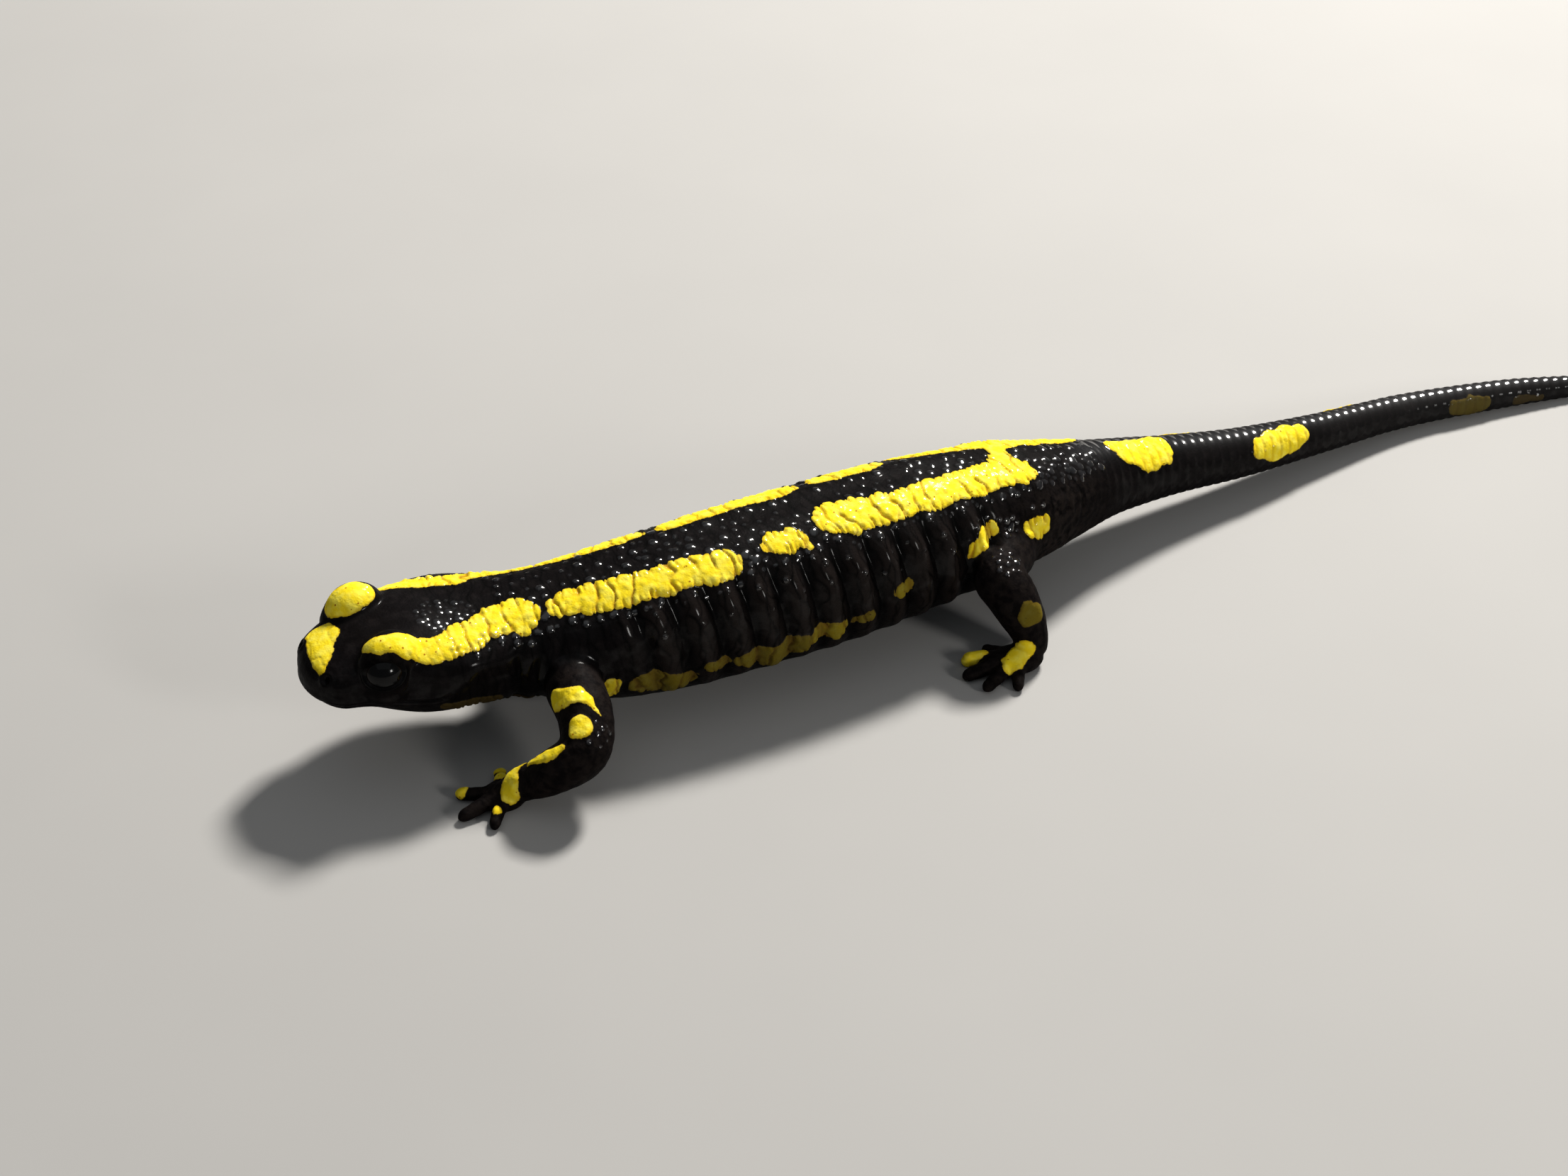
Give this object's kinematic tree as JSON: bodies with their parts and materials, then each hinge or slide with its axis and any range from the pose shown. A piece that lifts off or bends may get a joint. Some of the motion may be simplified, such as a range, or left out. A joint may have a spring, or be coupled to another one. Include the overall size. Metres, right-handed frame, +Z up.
{
  "type": "fire salamander",
  "caption": "Fire salamander standing still on short bent legs, with bulging eyes, a grooved round trunk and a long tapering tail laid on the ground.",
  "frame": {"origin": "on the floor, under the middle of the bounding box", "axes": "+X toward the tail tip, -X the snout, -Y the animal's left side, +Z up"},
  "size_m": [0.2006, 0.0444, 0.0214],
  "materials": {
    "skin": "wet, near-black smooth skin with bright yellow raised markings",
    "eye": "wet glossy near-black"
  },
  "bodies": {
    "root": {"head": "skin", "eye_left": "eye", "eye_right": "eye", "neck": "skin", "torso_front": "skin", "torso_middle": "skin", "torso_rear": "skin", "pelvis": "skin", "tail_base": "skin", "tail_front": "skin", "tail_middle": "skin", "tail_tip": "skin", "upper_arm_left": "skin", "forearm_left": "skin", "hand_left": "skin", "upper_arm_right": "skin", "forearm_right": "skin", "hand_right": "skin", "thigh_left": "skin", "shank_left": "skin", "foot_left": "skin", "thigh_right": "skin", "shank_right": "skin", "foot_right": "skin"}
  },
  "joints": []
}
